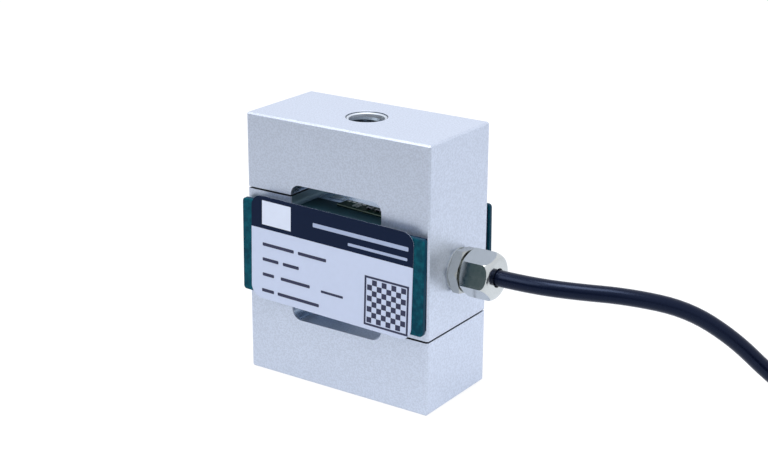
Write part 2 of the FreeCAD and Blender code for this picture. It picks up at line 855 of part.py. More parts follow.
def around(radius, angle, height=0.0):
    """A point at a radius and an angle in degrees about the vertical axis."""
    turn = math.radians(angle)
    return Vector(radius * math.cos(turn), radius * math.sin(turn), height)


def cable_end(place, wall_radius, floor):
    """The shrink sleeve where the jacket ends, and the cores, fanned out on the coil's step."""
    sweep = -size("tail_sweep").value
    sleeve_radius = size("sleeve_diameter").value / 2
    sleeve_length = size("sleeve_length").value
    track = wall_radius + sleeve_radius + size("sleeve_clearance").value
    outward = around(1, sweep)
    forward = around(1, sweep - 90)
    sleeve_start = around(track, sweep, floor + sleeve_radius)
    sleeve_end = sleeve_start + forward * sleeve_length
    sleeve = Part.makeCylinder(sleeve_radius, sleeve_length, sleeve_start, forward)
    pieces.append(solid("cable_end_sleeve", sleeve, place))

    # from the inside of the coil outwards: name, and place in the bundle inside the sleeve
    core_radius = size("core_end_diameter").value / 2
    tip_radius = size("core_tip_diameter").value / 2
    bundle = core_radius + size("sleeve_clearance").value
    drain = bundle + core_radius + tip_radius + size("drain_clearance").value
    cores = [
        ("core_end_red", -bundle, bundle),
        ("core_end_green", -bundle, -bundle),
        ("core_end_drain", 0, -drain),
        ("core_end_white", bundle, -bundle),
        ("core_end_black", bundle, bundle),
    ]
    turned_so_far = math.degrees(math.atan2(sleeve_length, track))
    middle_track = wall_radius + size("coil_top_turns").value * size("cable_diameter").value / 2
    for i, (name, across, up) in enumerate(cores):
        radius = tip_radius if name.endswith("drain") else core_radius
        lane = middle_track + (i - 2) * size("core_end_spacing").value
        first = sleeve_end + outward * across + Vector(0, 0, up)
        second = first + forward * size("core_end_straight").value
        lying = floor + radius
        points = [first, second]
        for step, height_left in FAN_ROUTE:
            height = lying + (second.z - lying) * height_left
            points.append(around(lane, sweep - turned_so_far - step, height))
        wire = tube_along(points, radius)
        if radius == core_radius:
            ahead = (points[-1] - points[-2]).normalize()
            tip = Part.makeCylinder(tip_radius, size("core_tip_length").value, points[-1], ahead)
            wire = wire.fuse(tip)
        pieces.append(solid(name, wire, place))


def inner_cores():
    """The four cores from the stripped end of the cable, through the window and up to the board."""
    axis_height = gland_height.value
    half_pitch = size("core_spacing").value / 2
    board_top = upper_floor.value + size("board_thickness").value
    strip = size("strip_point").value
    setback = size("board_setback").value
    run = size("core_run").value
    turn_height = window_ceiling.value - size("core_drop").value
    for colour, (along, side) in core_offsets().items():
        rise_x = along * half_pitch
        level = axis_height + along * half_pitch
        side_start = side * half_pitch
        side_end = side * half_pitch - setback
        points = [
            Vector(strip, side_start, level),
            Vector(rise_x + run, side_start, level),
            Vector(rise_x, side_end, turn_height + rise_x),
            Vector(rise_x, side_end, board_top),
        ]
        wire = tube_along(points, size("core_diameter").value / 2)
        pieces.append(solid(f"core_{colour}", wire))


# ---------------------------------------------------------------- build, check and write
elastic_element()
cover("front", -1)
cover("rear", 1)
label()
gauges()
terminal_board()
gland()
cable()
inner_cores()

doc.recompute()
for item in doc.Objects:
    if any(state in ("Invalid", "Error") for state in item.State):
        raise RuntimeError(f"{item.Label} did not recompute: {item.State}")

os.makedirs("parts", exist_ok=True)
for piece in pieces:
    shape = piece.Shape
    if shape.isNull() or not shape.isValid() or not shape.Solids:
        raise RuntimeError(f"{piece.Label} has no valid solid")
    shape.exportStep(f"parts/{piece.Label}.step")
print(f"{len(pieces)} pieces")
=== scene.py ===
"""Finishes, print, wiring details, cable and stage for an S type load cell."""

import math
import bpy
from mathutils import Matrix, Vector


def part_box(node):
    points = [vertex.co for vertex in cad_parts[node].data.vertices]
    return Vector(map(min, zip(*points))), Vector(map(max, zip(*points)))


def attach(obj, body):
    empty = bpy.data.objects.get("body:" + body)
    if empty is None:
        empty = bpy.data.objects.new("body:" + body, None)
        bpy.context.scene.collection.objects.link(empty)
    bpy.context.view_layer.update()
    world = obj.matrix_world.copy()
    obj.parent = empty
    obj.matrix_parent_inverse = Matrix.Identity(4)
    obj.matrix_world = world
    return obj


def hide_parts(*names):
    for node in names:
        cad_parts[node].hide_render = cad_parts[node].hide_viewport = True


bl_info = {
    "name": "S Type Load Cell",
    "version": (1, 0, 0),
    "blender": (4, 5, 0),
    "location": "View3D > Sidebar > Load Cell",
    "description": "Finishes, print, wiring, cable and stage for an S type load cell",
    "category": "Add Mesh",
}

import bmesh
import bpy
from bpy.props import FloatProperty, FloatVectorProperty, IntProperty, PointerProperty
from mathutils import Matrix, Vector

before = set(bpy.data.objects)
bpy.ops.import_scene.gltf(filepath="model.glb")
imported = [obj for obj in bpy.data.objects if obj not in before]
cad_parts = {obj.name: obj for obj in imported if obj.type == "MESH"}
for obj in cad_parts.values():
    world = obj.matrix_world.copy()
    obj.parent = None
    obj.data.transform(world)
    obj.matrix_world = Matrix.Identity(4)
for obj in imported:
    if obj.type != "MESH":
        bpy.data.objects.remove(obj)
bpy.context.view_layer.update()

MM = 0.001

# ------------------------ places read from the frame
ELEMENT_LOW, ELEMENT_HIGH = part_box("elastic_element")
LABEL_LOW, LABEL_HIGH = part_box("label")
SEAL_LOW, SEAL_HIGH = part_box("gland_seal")
BOARD_LOW, BOARD_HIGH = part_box("terminal_board")
ELEMENT_CENTRE = (ELEMENT_LOW + ELEMENT_HIGH) / 2
LABEL_CENTRE = (LABEL_LOW + LABEL_HIGH) / 2
LABEL_THICKNESS = LABEL_HIGH.y - LABEL_LOW.y
BOARD_CENTRE = (BOARD_LOW + BOARD_HIGH) / 2
GLAND_AXIS_HEIGHT = (SEAL_LOW.z + SEAL_HIGH.z) / 2
# the board lies askew in the slot, clockwise from above
BOARD_TURN = math.radians(6.3)

# ------------------------ zones of the element's finish
# All are measured from the element's middle.
# half sizes of the box round both slots and the window
SLOT_WIDTH = 12.8 * MM
SLOT_DEPTH = 12.05 * MM
SLOT_HEIGHT = 16.65 * MM
# level, half thickness, half depth and outer end of the kerfs
KERF_LEVEL = 13.85 * MM
KERF_THICKNESS = 0.24 * MM
KERF_DEPTH = 12.45 * MM
KERF_END = 25.0 * MM
# painted shade in the upper slot, tinted teal as a painted reflection of the cover plates: on its
# floor up to the gauges, low on its walls, on its ceiling
FLOOR_LOW = 10.9 * MM
FLOOR_HIGH = 11.1 * MM
FLOOR_BACK = -2.9 * MM
WALL_HIGH = 13.6 * MM
WALL_START = 8 * MM
CEILING_LOW = 16.4 * MM
# the tapped holes and their countersinks
BORE_RADIUS = 4.97 * MM
MOUTH_RADIUS = 4.68 * MM
MOUTH_LEVEL = 31.3 * MM

# ------------------------ the cable's route
# The free stretch, from the gland to where it runs into the coil, in millimetres.
CABLE_ROUTE = [
    (43.5, 0.0, 32.2),
    (53.0, 2.8, 31.9),
    (64.0, 8.8, 31.2),
    (74.6, 16.3, 28.2),
    (83.2, 22.6, 21.2),
    (90.4, 27.6, 12.6),
    (98.4, 32.6, 5.0),
    (108.0, 37.6, 1.9),
]
COIL_ENTRY = Vector((130.9, 45.9, 0.0)) * MM
COIL_HEADING = math.radians(20.0)


def millimetres(values):
    """Lengths given in millimetres, in metres."""
    return [value * MM for value in values]


# ------------------------ colours
def linear(code):
    """A colour written as an sRGB hex value, as linear red, green and blue."""
    channels = [int(code[i : i + 2], 16) / 255 for i in (1, 3, 5)]
    return tuple(c / 12.92 if c <= 0.04045 else ((c + 0.055) / 1.055) ** 2.4 for c in channels)


def opaque(colour):
    return (*colour[:3], 1.0)


# ------------------------ settings
def length_property(name, description, millimetres):
    return FloatProperty(
        name=name,
        description=description,
        default=millimetres * MM,
        min=0.0,
        precision=5,
        unit="LENGTH",
    )


def angle_property(name, description, degrees):
    return FloatProperty(
        name=name, description=description, default=math.radians(degrees), subtype="ANGLE"
    )


def colour_property(name, description, code):
    return FloatVectorProperty(
        name=name,
        description=description,
        default=linear(code),
        size=3,
        min=0.0,
        max=1.0,
        subtype="COLOR",
    )


class LoadCellCable(bpy.types.PropertyGroup):
    """Sizes of the cable and its coil"""

    diameter: length_property("Diameter", "Outer diameter of the jacket", 3.8)
    length: length_property("Length", "Whole length from the gland to the sleeve", 2000.0)
    coil_radius: length_property("Coil radius", "Radius at the middle of the coil's turns", 22.8)
    lanes: IntProperty(
        name="Turns wide", description="Turns side by side in a layer", default=4, min=2
    )
    turns: FloatProperty(
        name="Turns", description="Turns in the coil, to its free end", default=13.47, min=1.0
    )
    points_per_turn: IntProperty(
        name="Points per turn", description="Control points in each turn", default=24, min=12
    )


class LoadCellThread(bpy.types.PropertyGroup):
    """Sizes of the two mounting threads"""

    pitch: length_property("Pitch", "Distance between turns of the thread", 1.5)
    core_radius: length_property("Core radius", "Radius of the drilled hole", 4.25)
    crest_height: length_property("Crest height", "How far the crests stand out of the hole", 0.3)
    depth: length_property("Depth", "Length of the threaded wall", 14.6)
    mouth: length_property("Mouth", "Depth of the countersink at the mouth", 0.5)


class LoadCellLabel(bpy.types.PropertyGroup):
    """Layout of the print on the label"""

    width: length_property("Width", "Width of the film", 45.4)
    height: length_property("Height", "Height of the film", 25.6)
    corner: length_property("Corner", "Radius of the film's corners", 3.0)
    header: length_property("Header", "Height of the dark band at the top", 7.95)
    ink: length_property("Ink", "Thickness of the printed ink", 0.012)
    tilt: angle_property("Tilt", "How far the label is stuck on askew", 1.4)


class LoadCellColours(bpy.types.PropertyGroup):
    """Colours of the finishes"""

    aluminium: colour_property("Aluminium", "Blasted and anodised element", "#E0E7F4")
    slot_metal: colour_property("Slot metal", "Bare metal in the slots and window", "#B9C8D9")
    # the next three colours are painted shade in the upper slot, tinted teal as a painted
    # reflection of the cover plates
    slot_floor_painted_shade: colour_property("Seal coat", "Lacquer on the floor round the board", "#0A3D4A")
    slot_wall_painted_shade: colour_property("Wall coat", "Thin lacquer low on the slot's walls", "#78909B")
    slot_ceiling_painted_shade: colour_property("Ceiling coat", "Lacquer on the slot's ceiling", "#24505C")
    # painted shade: the kerf walls, darker than their own matt wire-cut grey
    kerf_painted_shade: colour_property("Wire-cut metal", "Walls of the kerfs", "#2B3138")
    bore_metal: colour_property("Bore metal", "Bare metal of the bores", "#D5DBE2")
    # painted shade: the threads deep in the holes are painted darker
    thread_painted_shade: colour_property("Thread metal", "Bare metal of the threads", "#77818C")
    # painted shade: the turned mouths are painted dark for the shade on their far side
    countersink: colour_property("Countersink", "Turned mouths of the threads", "#525C68")
    plate: colour_property("Cover plate", "Glass epoxy sheet", "#053848")
    plate_fleck: colour_property("Plate flecks", "Resin-rich flecks in the sheet", "#0C626E")
    plate_edge: colour_property("Plate edge", "Sawn edges of the sheet", "#06364A")
    film: colour_property("Label film", "Unprinted film", "#C0C9DF")
    header_ink: colour_property("Header ink", "Band at the top of the label", "#0B1A34")
    dark_ink: colour_property("Dark ink", "Lines printed on the film", "#2D304B")
    nickel: colour_property("Nickel", "Plating of the gland", "#D9DBD8")
    jacket: colour_property("Cable jacket", "Outside of the cable", "#03081B")
    solder_mask: colour_property("Solder mask", "Face of the terminal board", "#0E3A2C")


class LoadCellStage(bpy.types.PropertyGroup):
    """Camera and lamps"""

    azimuth: angle_property(
        "Azimuth", "Direction of the camera about the vertical, from the front", 34.27
    )
    elevation: angle_property("Elevation", "Height of the camera above the horizon", 18.97)
    roll: angle_property("Roll", "Turn of the camera about its own line of sight", 0.25)
    distance: length_property("Distance", "From the camera to the point it looks at", 377.6)
    lens: FloatProperty(
        name="Lens", description="Focal length in millimetres", default=72.9, min=1.0
    )
    key_power: FloatProperty(name="Key", description="Power of the key lamp in watts", default=5.0)
    fill_power: FloatProperty(
        name="Fill", description="Power of the fill lamp in watts", default=2.9
    )


# ------------------------ building blocks
def new_object(name, bm, materials):
    """Turn a bmesh into an object."""
    mesh = bpy.data.meshes.new(name)
    bm.to_mesh(mesh)
    bm.free()
    for material in materials:
        mesh.materials.append(material)
    made = bpy.data.objects.new(name, mesh)
    bpy.context.scene.collection.objects.link(made)
    return made


def new_piece(name, bm, materials):
    """Turn a bmesh into a piece that belongs to the cell."""
    piece = new_object(name, bm, materials)
    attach(piece, "root")
    return piece


def merge(target, part, place, material_index=0):
    """Move a bmesh into place and add it to another."""
    for face in part.faces:
        face.material_index = material_index
    bmesh.ops.transform(part, matrix=place, verts=part.verts)
    mesh = bpy.data.meshes.new("part")
    part.to_mesh(mesh)
    part.free()
    target.from_mesh(mesh)
    bpy.data.meshes.remove(mesh)


def slab(width, height, thickness, corner=0.0):
    """A thin block lying on the XY plane, its upright edges rounded to a corner radius."""
    bm = bmesh.new()
    bmesh.ops.create_grid(bm, x_segments=1, y_segments=1, size=0.5)
    bmesh.ops.scale(bm, vec=(width, height, 1), verts=bm.verts)
    if corner > 0:
        bmesh.ops.bevel(
            bm,
            geom=bm.verts[:],
            offset=corner,
            offset_type="OFFSET",
            segments=8,
            profile=0.5,
            affect="VERTICES",
            material=-1,
        )
    raised = bmesh.ops.extrude_face_region(bm, geom=bm.faces[:])
    verts = [item for item in raised["geom"] if isinstance(item, bmesh.types.BMVert)]
    bmesh.ops.translate(bm, vec=(0, 0, thickness), verts=verts)
    bmesh.ops.recalc_face_normals(bm, faces=bm.faces)
    return bm


def shade_smooth(piece):
    for polygon in piece.data.polygons:
        polygon.use_smooth = True


def give_finish(node_names, material):
    """Put a material on CAD nodes."""
    for name in node_names:
        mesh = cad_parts[name].data
        mesh.materials.clear()
        mesh.materials.append(material)


def nodes_starting(prefix):
    return sorted(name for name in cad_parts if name.startswith(prefix))


# ------------------------ nodes
def add_node(tree, kind, inputs=None, **settings):
    """Add a node with its settings. Each input is a value, or a socket to link from."""
    node = tree.nodes.new(kind)
    for name, value in settings.items():
        setattr(node, name, value)
    for name, value in (inputs or {}).items():
        if isinstance(value, bpy.types.NodeSocket):
            tree.links.new(value, node.inputs[name])
        else:
            node.inputs[name].default_value = value
    return node


def start_material(name, **shader_inputs):
    """A material, its node tree, its shader and its object coordinates."""
    material = bpy.data.materials.new(name)
    material.use_nodes = True
    tree = material.node_tree
    shader = tree.nodes["Principled BSDF"]
    for key, value in shader_inputs.items():
        shader.inputs[key.replace("_", " ")].default_value = value
    coordinates = add_node(tree, "ShaderNodeTexCoord").outputs["Object"]
    return material, tree, shader, coordinates


def link(tree, socket, shader, name):
    tree.links.new(socket, shader.inputs[name])


# sockets of a Mix node that mixes colours
FACTOR, FIRST, SECOND, MIXED = 0, 6, 7, 2


def mixed(tree, factor, first, second):
    """A colour between two others."""
    inputs = {FACTOR: factor, FIRST: first, SECOND: second}
    return add_node(tree, "ShaderNodeMix", inputs, data_type="RGBA").outputs[MIXED]


def dimmed(colour, share):
    return opaque([channel * share for channel in colour])


def computed(tree, operation, first, second=None):
    """A number worked out from one or two others."""
    inputs = {0: first} if second is None else {0: first, 1: second}
    return add_node(tree, "ShaderNodeMath", inputs, operation=operation).outputs[0]


def vectored(tree, operation, first, second=None):
    """A vector worked out from one or two others, or a number where it measures them."""
    inputs = {0: first} if second is None else {0: first, 1: second}
    node = add_node(tree, "ShaderNodeVectorMath", inputs, operation=operation)
    measures = operation in ("LENGTH", "DISTANCE", "DOT_PRODUCT")
    return node.outputs["Value" if measures else "Vector"]


def split(tree, vector):
    """The three parts of a vector."""
    node = add_node(tree, "ShaderNodeSeparateXYZ", {"Vector": vector})
    return [node.outputs[axis] for axis in "XYZ"]


def below(tree, value, limit):
    """1 where a value is less than a limit."""
    return computed(tree, "LESS_THAN", value, limit)


def all_of(tree, zone, *others):
    """1 where all the zones meet."""
    for other in others:
        zone = computed(tree, "MULTIPLY", zone, other)
    return zone


def between(tree, low, value, high):
    """1 where a value lies between two limits."""
    return all_of(tree, below(tree, low, value), below(tree, value, high))


def ramp(tree, value, start, end, low=0.0, high=1.0, interpolation="LINEAR"):
    """A value brought from one range to another, and held at its ends."""
    inputs = {"Value": value, "From Min": start, "From Max": end, "To Min": low, "To Max": high}
    node = add_node(tree, "ShaderNodeMapRange", inputs, interpolation_type=interpolation)
    return node.outputs["Result"]


def chosen(tree, zone, outside, inside):
    """One number outside a zone and another inside it."""
    return ramp(tree, zone, 0.0, 1.0, outside, inside)


def noise(tree, place, grain, detail=2.0, roughness=0.5):
    """A soft random pattern from 0 to 1, its grain given in metres."""
    inputs = {"Vector": place, "Scale": 1 / grain, "Detail": detail, "Roughness": roughness}
    return add_node(tree, "ShaderNodeTexNoise", inputs).outputs["Fac"]


def roughen(tree, shader, pattern, strength, depth):
    """Raise and lower the surface by a pattern, its depth given in metres."""
    inputs = {"Height": pattern, "Strength": strength, "Distance": depth}
    bump = add_node(tree, "ShaderNodeBump", inputs)
    link(tree, bump.outputs["Normal"], shader, "Normal")


# ------------------------ materials
def blasted_aluminium():
    """Aluminium, bead blasted and clear anodised: pale, even and satin, with a fine grain.

    The milled slots and the window are bare metal, greyer and smoother. In the upper slot
    painted shade, tinted teal as a painted reflection of the cover plates, lies dark on the floor
    in front of the gauges and lighter low on the walls and on the ceiling. The walls of the kerfs
    are dark and matt from the cutting wire, and painted darker still as shade inside the narrow
    kerf. The tapped holes are bright, and their turned mouths are smooth and painted dark as the
    shade on their far side.
    """
    colours = bpy.context.scene.load_cell_colours
    material, tree, shader, place = start_material("blasted_anodised_aluminium")
    grit = noise(tree, place, 0.4 * MM)
    cloud = noise(tree, place, 8 * MM, 3.0)
    tone = mixed(tree, cloud, dimmed(colours.aluminium, 0.93), opaque(colours.aluminium))
    speckle = ramp(tree, grit, 0.4, 0.6)
    colour = mixed(tree, speckle, tone, dimmed(colours.aluminium, 0.85))

    middle = vectored(tree, "SUBTRACT", place, ELEMENT_CENTRE)
    across, deep, high = split(tree, vectored(tree, "ABSOLUTE", middle))
    _, backward, up = split(tree, middle)
    slots = all_of(
        tree,
        below(tree, deep, SLOT_DEPTH),
        below(tree, across, SLOT_WIDTH),
        below(tree, high, SLOT_HEIGHT),
    )
    # the kerf walls: dark matt wire-cut metal, darkened further as painted shade inside the narrow
    # slit
    off_kerf = computed(tree, "ABSOLUTE", computed(tree, "SUBTRACT", high, KERF_LEVEL))
    kerfs = all_of(
        tree,
        below(tree, deep, KERF_DEPTH),
        below(tree, off_kerf, KERF_THICKNESS),
        between(tree, SLOT_WIDTH, across, KERF_END),
    )
    # painted shade: the floor in front of the gauges, the walls low down and the ceiling of the
    # upper slot
    floor = between(tree, FLOOR_LOW, up, FLOOR_HIGH)
    floor_shade_zone = all_of(tree, slots, floor, below(tree, backward, FLOOR_BACK))
    wall = between(tree, FLOOR_HIGH, up, WALL_HIGH)
    wall_shade_zone = all_of(tree, slots, wall, below(tree, WALL_START, across))
    ceiling = all_of(tree, slots, below(tree, CEILING_LOW, up))
    radius = vectored(tree, "LENGTH", vectored(tree, "MULTIPLY", middle, (1, 1, 0)))
    bored = below(tree, radius, BORE_RADIUS)
    # painted shade on the countersinks, darker than their own turned metal
    mouth = all_of(
        tree, bored, below(tree, MOUTH_RADIUS, radius), below(tree, MOUTH_LEVEL, high)
    )

    roughness = 0.39
    for zone, finish, zone_roughness in (
        (bored, colours.bore_metal, 0.5),
        (mouth, colours.countersink, 0.2),
        (slots, colours.slot_metal, 0.26),
        (wall_shade_zone, colours.slot_wall_painted_shade, 0.55),
        (ceiling, colours.slot_ceiling_painted_shade, 0.4),
        (floor_shade_zone, colours.slot_floor_painted_shade, 0.75),
        (kerfs, colours.kerf_painted_shade, 0.6),
    ):
        colour = mixed(tree, zone, colour, opaque(finish))
        roughness = chosen(tree, zone, roughness, zone_roughness)
    link(tree, colour, shader, "Base Color")
    link(tree, roughness, shader, "Roughness")
    # the painted shade on the slot's floor is not metal, so its dark teal shows as it is
    link(tree, chosen(tree, floor_shade_zone, 0.85, 0.0), shader, "Metallic")
    roughen(tree, shader, grit, 0.25, 0.03 * MM)
    return material


def plain_metal(name, colour, roughness, grain, strength, depth):
    """One metal of an even colour, its skin broken by a fine grain."""
    material, tree, shader, place = start_material(
        name, Base_Color=opaque(colour), Metallic=1.0, Roughness=roughness
    )
    roughen(tree, shader, noise(tree, place, grain), strength, depth)
    return material


def cut_aluminium():
    """Tapped aluminium, painted darker as shade deep in the holes, with the fine marks that the
    tap leaves.
    """
    colour = bpy.context.scene.load_cell_colours.thread_painted_shade
    return plain_metal("tapped_aluminium_painted_shade", colour, 0.36, 0.4 * MM, 0.2, 0.02 * MM)


def solder():
    """Solder: grey, half dull and slightly uneven."""
    return plain_metal("solder", linear("#A3ABA8"), 0.4, 0.3 * MM, 0.3, 0.03 * MM)


def constantan_foil():
    """Constantan foil under its protective coat: dull, with a fine rolled skin."""
    return plain_metal("constantan_foil", linear("#A3A6A2"), 0.35, 0.2 * MM, 0.2, 0.01 * MM)


def glass_epoxy():
    """Dark teal glass epoxy sheet: glass cloth under resin, with soft mottled flecks.

    Its sawn edges are of one colour, without flecks.
    """
    colours = bpy.context.scene.load_cell_colours
    material, tree, shader, place = start_material(
        "glass_epoxy_sheet", Roughness=0.36, Specular_IOR_Level=0.06
    )
    mottle = noise(tree, place, 1.6 * MM, 4.0, 0.65)
    flecks = ramp(tree, mottle, 0.4, 0.75, high=0.7)
    face = mixed(tree, flecks, opaque(colours.plate), opaque(colours.plate_fleck))
    facing = add_node(tree, "ShaderNodeNewGeometry").outputs["True Normal"]
    _, frontal, _ = split(tree, vectored(tree, "ABSOLUTE", facing))
    # an edge turns little of itself to the front or the back
    edge_facing = 0.3
    sawn = below(tree, frontal, edge_facing)
    link(tree, mixed(tree, sawn, face, opaque(colours.plate_edge)), shader, "Base Color")
    roughen(tree, shader, mottle, 0.3, 0.05 * MM)
    return material


def foam():
    """Closed-cell foam tape: matt and nearly black, with open pores where it was cut."""
    material, tree, shader, place = start_material(
        "closed_cell_foam", Roughness=0.9, Specular_IOR_Level=0.1
    )
    voronoi = add_node(tree, "ShaderNodeTexVoronoi", {"Vector": place, "Scale": 1 / (0.3 * MM)})
    cells = voronoi.outputs["Distance"]
    tone = mixed(tree, cells, opaque(linear("#071226")), opaque(linear("#10203C")))
    link(tree, tone, shader, "Base Color")
    roughen(tree, shader, cells, 0.6, 0.1 * MM)
    return material


def satin_film(name, colour, roughness=0.42, gloss=0.35, metallic=0.0):
    """Polyester film and the inks on it: smooth and satin, with a trace of orange peel."""
    material, tree, shader, place = start_material(
        name, Roughness=roughness, Specular_IOR_Level=gloss, Metallic=metallic
    )
    peel = noise(tree, place, 1.2 * MM)
    link(tree, mixed(tree, peel, dimmed(colour, 0.95), opaque(colour)), shader, "Base Color")
    roughen(tree, shader, peel, 0.12, 0.02 * MM)
    return material


def gauge_film():
    """Clear polyimide film glued to bare metal: the metal shines through it."""
    return satin_film("gauge_film", linear("#B3C0CC"), 0.24, metallic=0.9)


def nickel_plate(name, colour):
    """Bright nickel on turned brass: a mirror, faintly warm, softened by polishing marks."""
    material, tree, shader, place = start_material(name, Metallic=1.0)
    marks = noise(tree, place, 0.8 * MM, 5.0, 0.6)
    warm = opaque([channel * share for channel, share in zip(colour, (0.9, 0.9, 0.87))])
    link(tree, mixed(tree, marks, warm, opaque(colour)), shader, "Base Color")
    link(tree, ramp(tree, marks, 0.0, 1.0, 0.08, 0.24), shader, "Roughness")
    roughen(tree, shader, marks, 0.1, 0.03 * MM)
    return material


COOL_SHINE = (0.48, 0.62, 1.0, 1.0)


def soft_plastic(name, colour, roughness, grain, gloss=0.4):
    """Extruded or moulded rubber and plastic: even, with a fine grain and a cool shine."""
    material, tree, shader, place = start_material(
        name, Roughness=roughness, Specular_IOR_Level=gloss, Specular_Tint=COOL_SHINE
    )
    skin = noise(tree, place, grain, 3.0)
    lighter = opaque([min(1.0, channel * 1.35 + 0.002) for channel in colour])
    link(tree, mixed(tree, skin, opaque(colour), lighter), shader, "Base Color")
    roughen(tree, shader, skin, 0.2, 0.03 * MM)
    return material


TINNED_COPPER = "#C3C5C8"


def insulation(name, code):
    """PVC insulation of a core: its colour, slightly glossy, with the grain of extrusion."""
    return soft_plastic(name, linear(code), 0.4, 0.5 * MM)


def insulated_core(name, code, tip, tip_length):
    """PVC insulation, and the tinned strands that stand bare near the core's tip."""
    material = insulation(name, code)
    tree = material.node_tree
    shader = tree.nodes["Principled BSDF"]
    place = add_node(tree, "ShaderNodeTexCoord").outputs["Object"]
    bare = below(tree, vectored(tree, "DISTANCE", place, tip), tip_length)
    covered = shader.inputs["Base Color"].links[0].from_socket
    finish = mixed(tree, bare, covered, opaque(linear(TINNED_COPPER)))
    link(tree, finish, shader, "Base Color")
    link(tree, bare, shader, "Metallic")
    return material


def tinned_wire():
    """Tinned copper: soft silver, with the twist of its strands."""
    material, tree, shader, place = start_material(
        "tinned_copper", Base_Color=opaque(linear(TINNED_COPPER)), Metallic=1.0, Roughness=0.32
    )
    twist = add_node(
        tree, "ShaderNodeTexWave", {"Vector": place, "Scale": 1 / (1.2 * MM), "Distortion": 1.0}
    )
    roughen(tree, shader, twist.outputs["Fac"], 0.4, 0.05 * MM)
    return material


def board_laminate():
    """Terminal board: dull green solder mask on its face, and dark cut edges that are painted
    shade.

    The edge is pale bare laminate only along its top; below that band it is painted dark as shade,
    low where the board meets the slot's floor.
    """
    colours = bpy.context.scene.load_cell_colours
    material, tree, shader, place = start_material(
        "solder_masked_board", Roughness=0.6, Specular_IOR_Level=0.1
    )
    normal = add_node(tree, "ShaderNodeNewGeometry").outputs["Normal"]
    _, _, upward = split(tree, normal)
    top_facing = 0.5
    face = below(tree, top_facing, upward)
    weave = noise(tree, place, 0.7 * MM, 3.0)
    mask = mixed(tree, weave, dimmed(colours.solder_mask, 0.7), opaque(colours.solder_mask))
    _, _, height = split(tree, place)
    pale_band_height = 0.22 * MM
    low = below(tree, height, BOARD_HIGH.z - pale_band_height)
    # painted shade on the edge below the pale band
    edge = mixed(tree, low, opaque(linear("#8FA394")), opaque(linear("#1B2A26")))
    link(tree, mixed(tree, face, edge, mask), shader, "Base Color")
    return material


# ------------------------ operators
class LOADCELL_OT_cable(bpy.types.Operator):
    """Lay the cable from the gland into its coil"""

    bl_idname = "loadcell.cable"
    bl_label = "Cable"

    # the share of a turn in which the cable changes lane or rises to the next layer
    CHANGE = 0.25

    def execute(self, context):
        sizes = context.scene.load_cell_cable
        points = [Vector((SEAL_HIGH.x, 0, GLAND_AXIS_HEIGHT))]
        points += [Vector(point) * MM for point in CABLE_ROUTE]
        points += self.coil_points(sizes)

        curve = bpy.data.curves.new("cable", "CURVE")
        curve.dimensions = "3D"
        curve.bevel_depth = sizes.diameter / 2
        curve.bevel_resolution = 6
        curve.resolution_u = 6
        curve.use_fill_caps = True
        spline = curve.splines.new("NURBS")
        spline.points.add(len(points) - 1)
        for spot, point in zip(spline.points, points):
            spot.co = (*point, 1.0)
        spline.order_u = 3
        spline.use_endpoint_u = True
        colours = context.scene.load_cell_colours
        jacket = soft_plastic("cable_jacket", colours.jacket, 0.25, 0.6 * MM, 0.3)
        curve.materials.append(jacket)

        cable = bpy.data.objects.new("cable", curve)
        context.scene.collection.objects.link(cable)
        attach(cable, "root")
        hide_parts("cable_tube", "cable_coil")
        return {"FINISHED"}

    def coil_points(self, sizes):
        """The coil's turns, clockwise from above: out to in, in to out, and so on upwards."""
        step = 2 * math.pi / sizes.points_per_turn
        outer = sizes.coil_radius + sizes.diameter * (sizes.lanes - 1) / 2
        inward = Vector((math.sin(COIL_HEADING), -math.cos(COIL_HEADING), 0))
        centre = COIL_ENTRY + inward * outer
        begin = COIL_HEADING + math.pi / 2
        points = []
        count = int(round(sizes.turns * sizes.points_per_turn)) + 1
        for i in range(count):
            turned = (i - 0.5) / sizes.points_per_turn
            lane, level = self.lane_and_level(max(turned, 0.0), sizes.lanes)
            radius = outer - lane * sizes.diameter
            # control points stand outside the round line that they draw
            radius /= math.cos(step / 2)
            angle = begin - turned * 2 * math.pi
            height = (level + 0.5) * sizes.diameter
            spot = Vector((radius * math.cos(angle), radius * math.sin(angle), height))
            points.append(centre + spot)
        return points

    def lane_and_level(self, turned, lanes):
        """How far in and how high the cable lies after so many turns, in diameters.

        The strands of a layer all change lane in one quarter of the coil, and each layer
        changes lane a quarter before the layer below it, so no strand meets another.
        """
        lane = 0.0
        level = 0.0
        change = 1.0
        direction = 1
        while True:
            for _ in range(lanes - 1):
                moved = self.eased((turned - change + self.CHANGE) / self.CHANGE)
                lane += direction * moved
                if turned <= change:
                    return lane, level
                change += 1.0
            moved = self.eased((turned - change + self.CHANGE) / self.CHANGE)
            level += math.sqrt(1 - (1 - moved) ** 2)
            if turned <= change:
                return lane, level
            change += 1.0 - self.CHANGE
            direction = -direction

    def eased(self, share):
        share = min(max(share, 0.0), 1.0)
        return share * share * (3 - 2 * share)


